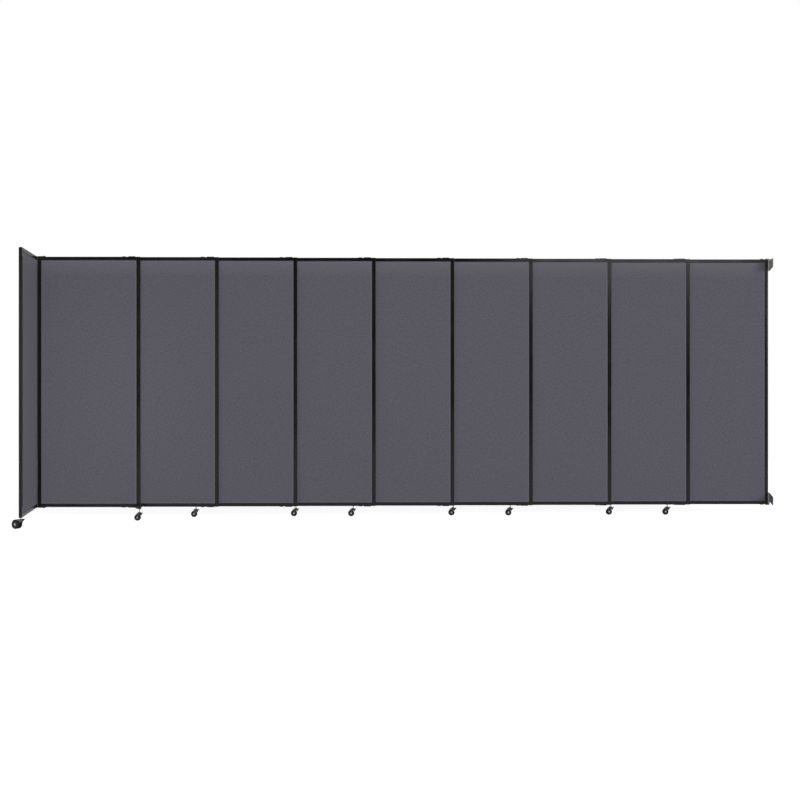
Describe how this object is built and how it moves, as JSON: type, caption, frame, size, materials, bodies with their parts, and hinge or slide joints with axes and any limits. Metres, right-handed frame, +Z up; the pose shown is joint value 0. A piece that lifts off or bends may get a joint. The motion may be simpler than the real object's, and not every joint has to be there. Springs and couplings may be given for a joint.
{
  "type": "telescoping room partition",
  "caption": "Telescoping fabric room partition: framed panels slide and nest on braked casters, with a hinged wing, an outrigger caster and pivoting wall brackets.",
  "frame": {"origin": "on the floor under the middle of the whole object's bounding box, row drawn out and wing open", "axes": "+X along the row towards the wall, +Y away from the front side, +Z up"},
  "size_m": [5.952, 1.068, 2.0943],
  "materials": {
    "frame": "satin",
    "fabric": "matte",
    "guide": "satin",
    "hinge": "satin",
    "arm": "satin",
    "bracket": "satin",
    "caster_fork": "satin",
    "caster_wheel": "matte",
    "caster_pedal": "satin"
  },
  "bodies": {
    "wall": {"wall_bracket_top": "bracket", "wall_bracket_bottom": "bracket"},
    "panel_1": {"panel_1_frame": "frame", "panel_1_fabric": "fabric", "panel_1_guides": "guide", "outrigger_arm": "arm", "wing_hinge_plates": "hinge"},
    "panel_2": {"panel_2_frame": "frame", "panel_2_fabric": "fabric", "panel_2_guides": "guide"},
    "panel_3": {"panel_3_frame": "frame", "panel_3_fabric": "fabric", "panel_3_guides": "guide"},
    "panel_4": {"panel_4_frame": "frame", "panel_4_fabric": "fabric", "panel_4_guides": "guide"},
    "panel_5": {"panel_5_frame": "frame", "panel_5_fabric": "fabric", "panel_5_guides": "guide"},
    "panel_6": {"panel_6_frame": "frame", "panel_6_fabric": "fabric", "panel_6_guides": "guide"},
    "panel_7": {"panel_7_frame": "frame", "panel_7_fabric": "fabric", "panel_7_guides": "guide"},
    "panel_8": {"panel_8_frame": "frame", "panel_8_fabric": "fabric", "panel_8_guides": "guide"},
    "panel_9": {"panel_9_frame": "frame", "panel_9_fabric": "fabric", "panel_9_guides": "guide"},
    "wing": {"wing_frame": "frame", "wing_fabric": "fabric"},
    "outrigger_caster_fork": {"outrigger_caster_fork": "caster_fork"},
    "outrigger_caster_wheel": {"outrigger_caster_wheel": "caster_wheel"},
    "outrigger_caster_pedal": {"outrigger_caster_pedal": "caster_pedal"},
    "panel_2_caster_fork": {"panel_2_caster_fork": "caster_fork"},
    "panel_2_caster_wheel": {"panel_2_caster_wheel": "caster_wheel"},
    "panel_2_caster_pedal": {"panel_2_caster_pedal": "caster_pedal"},
    "panel_4_left_caster_fork": {"panel_4_left_caster_fork": "caster_fork"},
    "panel_4_left_caster_wheel": {"panel_4_left_caster_wheel": "caster_wheel"},
    "panel_4_left_caster_pedal": {"panel_4_left_caster_pedal": "caster_pedal"},
    "panel_4_right_caster_fork": {"panel_4_right_caster_fork": "caster_fork"},
    "panel_4_right_caster_wheel": {"panel_4_right_caster_wheel": "caster_wheel"},
    "panel_4_right_caster_pedal": {"panel_4_right_caster_pedal": "caster_pedal"},
    "panel_6_left_caster_fork": {"panel_6_left_caster_fork": "caster_fork"},
    "panel_6_left_caster_wheel": {"panel_6_left_caster_wheel": "caster_wheel"},
    "panel_6_left_caster_pedal": {"panel_6_left_caster_pedal": "caster_pedal"},
    "panel_6_right_caster_fork": {"panel_6_right_caster_fork": "caster_fork"},
    "panel_6_right_caster_wheel": {"panel_6_right_caster_wheel": "caster_wheel"},
    "panel_6_right_caster_pedal": {"panel_6_right_caster_pedal": "caster_pedal"},
    "panel_8_left_caster_fork": {"panel_8_left_caster_fork": "caster_fork"},
    "panel_8_left_caster_wheel": {"panel_8_left_caster_wheel": "caster_wheel"},
    "panel_8_left_caster_pedal": {"panel_8_left_caster_pedal": "caster_pedal"},
    "panel_8_right_caster_fork": {"panel_8_right_caster_fork": "caster_fork"},
    "panel_8_right_caster_wheel": {"panel_8_right_caster_wheel": "caster_wheel"},
    "panel_8_right_caster_pedal": {"panel_8_right_caster_pedal": "caster_pedal"},
    "wing_caster_fork": {"wing_caster_fork": "caster_fork"},
    "wing_caster_wheel": {"wing_caster_wheel": "caster_wheel"},
    "wing_caster_pedal": {"wing_caster_pedal": "caster_pedal"}
  },
  "joints": [
    {"name": "wall_hinge", "type": "hinge", "parent": "wall", "child": "panel_9", "pos_m": [2.95455, 0.52002, 1.085], "axis": [0, 0, 1], "range_deg": [-90, 0]},
    {"name": "slide_8", "type": "slide", "parent": "panel_9", "child": "panel_8", "axis": [1, 0, 0], "range_m": [0, 0.6299]},
    {"name": "slide_7", "type": "slide", "parent": "panel_8", "child": "panel_7", "axis": [1, 0, 0], "range_m": [-0.00365, 0.6262]},
    {"name": "slide_6", "type": "slide", "parent": "panel_7", "child": "panel_6", "axis": [1, 0, 0], "range_m": [-0.00735, 0.6225]},
    {"name": "slide_5", "type": "slide", "parent": "panel_6", "child": "panel_5", "axis": [1, 0, 0], "range_m": [-0.01105, 0.6188]},
    {"name": "slide_4", "type": "slide", "parent": "panel_5", "child": "panel_4", "axis": [1, 0, 0], "range_m": [-0.01475, 0.6151]},
    {"name": "slide_3", "type": "slide", "parent": "panel_4", "child": "panel_3", "axis": [1, 0, 0], "range_m": [-0.01845, 0.6114]},
    {"name": "slide_2", "type": "slide", "parent": "panel_3", "child": "panel_2", "axis": [1, 0, 0], "range_m": [-0.02215, 0.6077]},
    {"name": "slide_1", "type": "slide", "parent": "panel_2", "child": "panel_1", "axis": [1, 0, 0], "range_m": [-0.02585, 0.604]},
    {"name": "wing_hinge", "type": "hinge", "parent": "panel_1", "child": "wing", "pos_m": [-2.96355, 0.28002, 1.085], "axis": [0, 0, 1], "range_deg": [-197.5, 2.5]},
    {"name": "outrigger_caster_swivel", "type": "hinge", "parent": "panel_1", "child": "outrigger_caster_fork", "pos_m": [-2.08855, 0.04852, 0.083], "axis": [0, 0, 1], "continuous": true},
    {"name": "outrigger_caster_roll", "type": "hinge", "parent": "outrigger_caster_fork", "child": "outrigger_caster_wheel", "pos_m": [-2.10455, 0.04852, 0.025], "axis": [0, 1, 0], "continuous": true},
    {"name": "outrigger_caster_brake", "type": "hinge", "parent": "outrigger_caster_fork", "child": "outrigger_caster_pedal", "pos_m": [-2.07655, 0.04852, 0.054], "axis": [0, 1, 0], "range_deg": [0, 16]},
    {"name": "panel_2_caster_swivel", "type": "hinge", "parent": "panel_2", "child": "panel_2_caster_fork", "pos_m": [-1.68655, 0.31002, 0.083], "axis": [0, 0, 1], "continuous": true},
    {"name": "panel_2_caster_roll", "type": "hinge", "parent": "panel_2_caster_fork", "child": "panel_2_caster_wheel", "pos_m": [-1.70255, 0.31002, 0.025], "axis": [0, 1, 0], "continuous": true},
    {"name": "panel_2_caster_brake", "type": "hinge", "parent": "panel_2_caster_fork", "child": "panel_2_caster_pedal", "pos_m": [-1.67455, 0.31002, 0.054], "axis": [0, 1, 0], "range_deg": [0, 16]},
    {"name": "panel_4_left_caster_swivel", "type": "hinge", "parent": "panel_4", "child": "panel_4_left_caster_fork", "pos_m": [-0.88945, 0.37002, 0.083], "axis": [0, 0, 1], "continuous": true},
    {"name": "panel_4_left_caster_roll", "type": "hinge", "parent": "panel_4_left_caster_fork", "child": "panel_4_left_caster_wheel", "pos_m": [-0.90545, 0.37002, 0.025], "axis": [0, 1, 0], "continuous": true},
    {"name": "panel_4_left_caster_brake", "type": "hinge", "parent": "panel_4_left_caster_fork", "child": "panel_4_left_caster_pedal", "pos_m": [-0.87745, 0.37002, 0.054], "axis": [0, 1, 0], "range_deg": [0, 16]},
    {"name": "panel_4_right_caster_swivel", "type": "hinge", "parent": "panel_4", "child": "panel_4_right_caster_fork", "pos_m": [-0.42745, 0.37002, 0.083], "axis": [0, 0, 1], "continuous": true},
    {"name": "panel_4_right_caster_roll", "type": "hinge", "parent": "panel_4_right_caster_fork", "child": "panel_4_right_caster_wheel", "pos_m": [-0.44345, 0.37002, 0.025], "axis": [0, 1, 0], "continuous": true},
    {"name": "panel_4_right_caster_brake", "type": "hinge", "parent": "panel_4_right_caster_fork", "child": "panel_4_right_caster_pedal", "pos_m": [-0.41545, 0.37002, 0.054], "axis": [0, 1, 0], "range_deg": [0, 16]},
    {"name": "panel_6_left_caster_swivel", "type": "hinge", "parent": "panel_6", "child": "panel_6_left_caster_fork", "pos_m": [0.38445, 0.43002, 0.083], "axis": [0, 0, 1], "continuous": true},
    {"name": "panel_6_left_caster_roll", "type": "hinge", "parent": "panel_6_left_caster_fork", "child": "panel_6_left_caster_wheel", "pos_m": [0.36845, 0.43002, 0.025], "axis": [0, 1, 0], "continuous": true},
    {"name": "panel_6_left_caster_brake", "type": "hinge", "parent": "panel_6_left_caster_fork", "child": "panel_6_left_caster_pedal", "pos_m": [0.39645, 0.43002, 0.054], "axis": [0, 1, 0], "range_deg": [0, 16]},
    {"name": "panel_6_right_caster_swivel", "type": "hinge", "parent": "panel_6", "child": "panel_6_right_caster_fork", "pos_m": [0.84645, 0.43002, 0.083], "axis": [0, 0, 1], "continuous": true},
    {"name": "panel_6_right_caster_roll", "type": "hinge", "parent": "panel_6_right_caster_fork", "child": "panel_6_right_caster_wheel", "pos_m": [0.83045, 0.43002, 0.025], "axis": [0, 1, 0], "continuous": true},
    {"name": "panel_6_right_caster_brake", "type": "hinge", "parent": "panel_6_right_caster_fork", "child": "panel_6_right_caster_pedal", "pos_m": [0.85845, 0.43002, 0.054], "axis": [0, 1, 0], "range_deg": [0, 16]},
    {"name": "panel_8_left_caster_swivel", "type": "hinge", "parent": "panel_8", "child": "panel_8_left_caster_fork", "pos_m": [1.67315, 0.49002, 0.083], "axis": [0, 0, 1], "continuous": true},
    {"name": "panel_8_left_caster_roll", "type": "hinge", "parent": "panel_8_left_caster_fork", "child": "panel_8_left_caster_wheel", "pos_m": [1.65715, 0.49002, 0.025], "axis": [0, 1, 0], "continuous": true},
    {"name": "panel_8_left_caster_brake", "type": "hinge", "parent": "panel_8_left_caster_fork", "child": "panel_8_left_caster_pedal", "pos_m": [1.68515, 0.49002, 0.054], "axis": [0, 1, 0], "range_deg": [0, 16]},
    {"name": "panel_8_right_caster_swivel", "type": "hinge", "parent": "panel_8", "child": "panel_8_right_caster_fork", "pos_m": [2.13515, 0.49002, 0.083], "axis": [0, 0, 1], "continuous": true},
    {"name": "panel_8_right_caster_roll", "type": "hinge", "parent": "panel_8_right_caster_fork", "child": "panel_8_right_caster_wheel", "pos_m": [2.11915, 0.49002, 0.025], "axis": [0, 1, 0], "continuous": true},
    {"name": "panel_8_right_caster_brake", "type": "hinge", "parent": "panel_8_right_caster_fork", "child": "panel_8_right_caster_pedal", "pos_m": [2.14715, 0.49002, 0.054], "axis": [0, 1, 0], "range_deg": [0, 16]},
    {"name": "wing_caster_swivel", "type": "hinge", "parent": "wing", "child": "wing_caster_fork", "pos_m": [-2.85946, -0.51066, 0.083], "axis": [0, 0, 1], "continuous": true},
    {"name": "wing_caster_roll", "type": "hinge", "parent": "wing_caster_fork", "child": "wing_caster_wheel", "pos_m": [-2.89005, -0.4983, 0.033], "axis": [0.3746, 0.9272, 0], "continuous": true},
    {"name": "wing_caster_brake", "type": "hinge", "parent": "wing_caster_fork", "child": "wing_caster_pedal", "pos_m": [-2.84369, -0.51703, 0.062], "axis": [0.3746, 0.9272, 0], "range_deg": [0, 12]}
  ]
}
